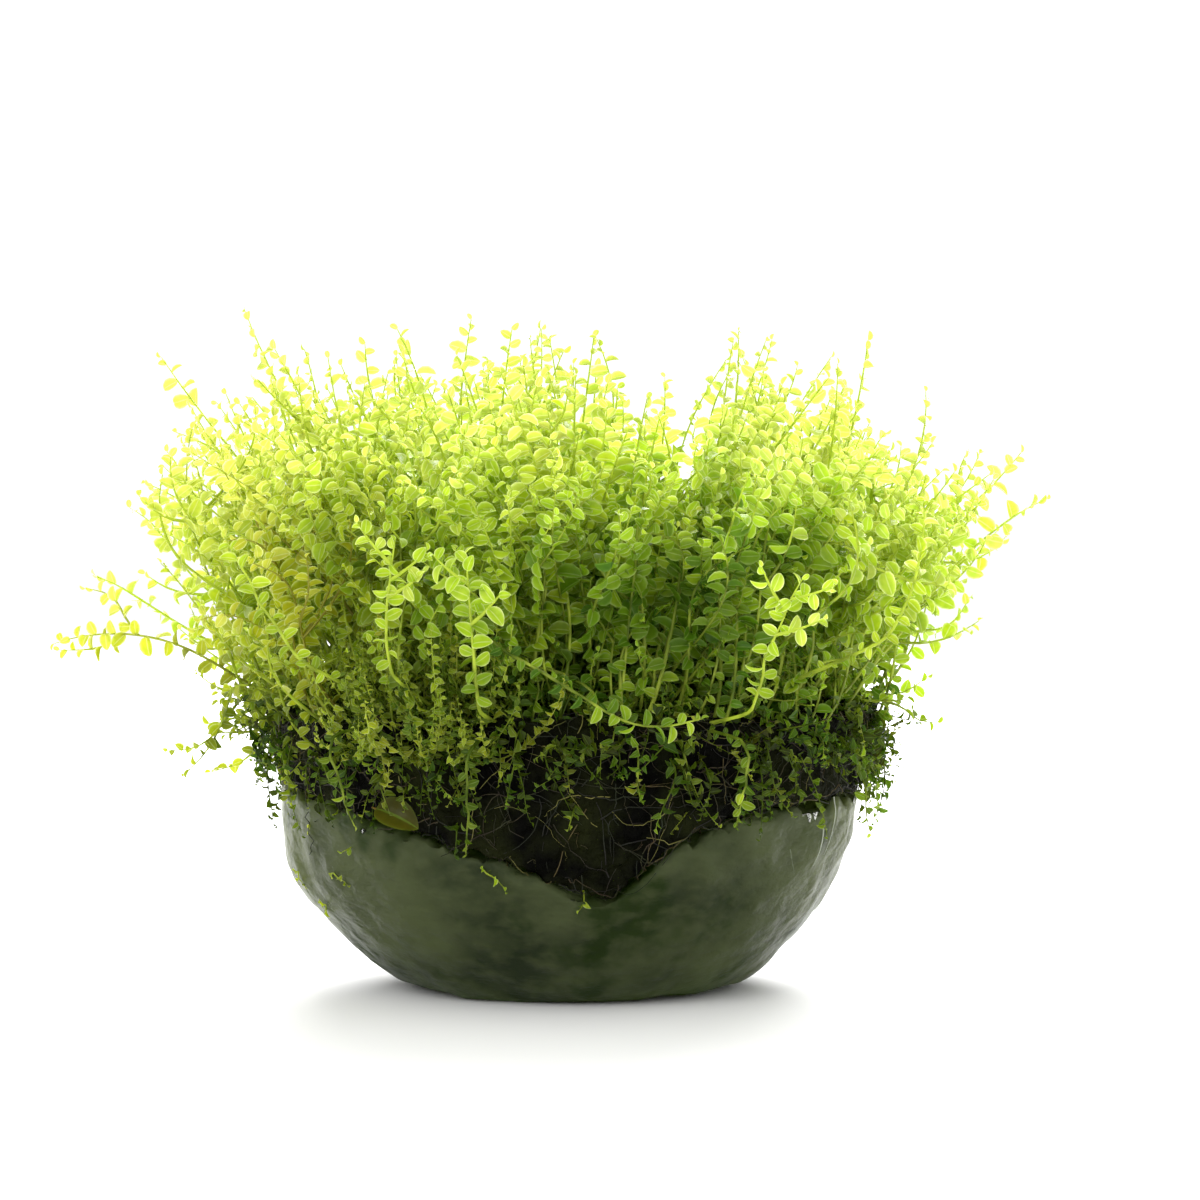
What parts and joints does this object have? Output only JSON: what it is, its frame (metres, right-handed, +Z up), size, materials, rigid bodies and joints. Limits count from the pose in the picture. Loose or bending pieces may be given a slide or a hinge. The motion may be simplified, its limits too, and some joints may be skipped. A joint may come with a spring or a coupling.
{
  "type": "moss clump",
  "caption": "Fan-shaped clump of leafy aquarium moss rising from a dark rhizoid mat on a cloudy, round-bottomed puck of culture gel.",
  "frame": {"origin": "centre of the gel puck's flat foot", "axes": "+Z up out of the foot, -Y towards the showing front of the clump, +X to that side's right"},
  "size_m": [0.0904, 0.0794, 0.0662],
  "materials": {
    "gel": "wet cloudy grey-green agar gel, see-through when thin",
    "felt": "matted black-brown rhizoids and dead stems, wet",
    "leaf": "thin translucent bright green leaves",
    "shoot": "thin translucent pale green leaves on a wiry stem"
  },
  "bodies": {
    "root": {"culture_gel": "gel", "rhizoid_mat": "felt", "tuft_crown_front": "leaf", "tuft_crown_right": "leaf", "tuft_crown_back": "leaf", "tuft_crown_left": "leaf", "tuft_front": "leaf", "tuft_front_right": "leaf", "tuft_right": "leaf", "tuft_back_right": "leaf", "tuft_back": "leaf", "tuft_back_left": "leaf", "tuft_left": "leaf", "tuft_front_left": "leaf", "tuft_low_left": "leaf", "tuft_low_right": "leaf", "runner_front": "shoot", "runner_left": "shoot", "shoot_front_left": "shoot", "shoot_front_middle": "shoot", "shoot_front_right": "shoot", "shoot_right": "shoot", "shoot_hanging_right": "shoot", "shoot_hanging_middle": "shoot", "shoot_hanging_left": "shoot"}
  },
  "joints": []
}
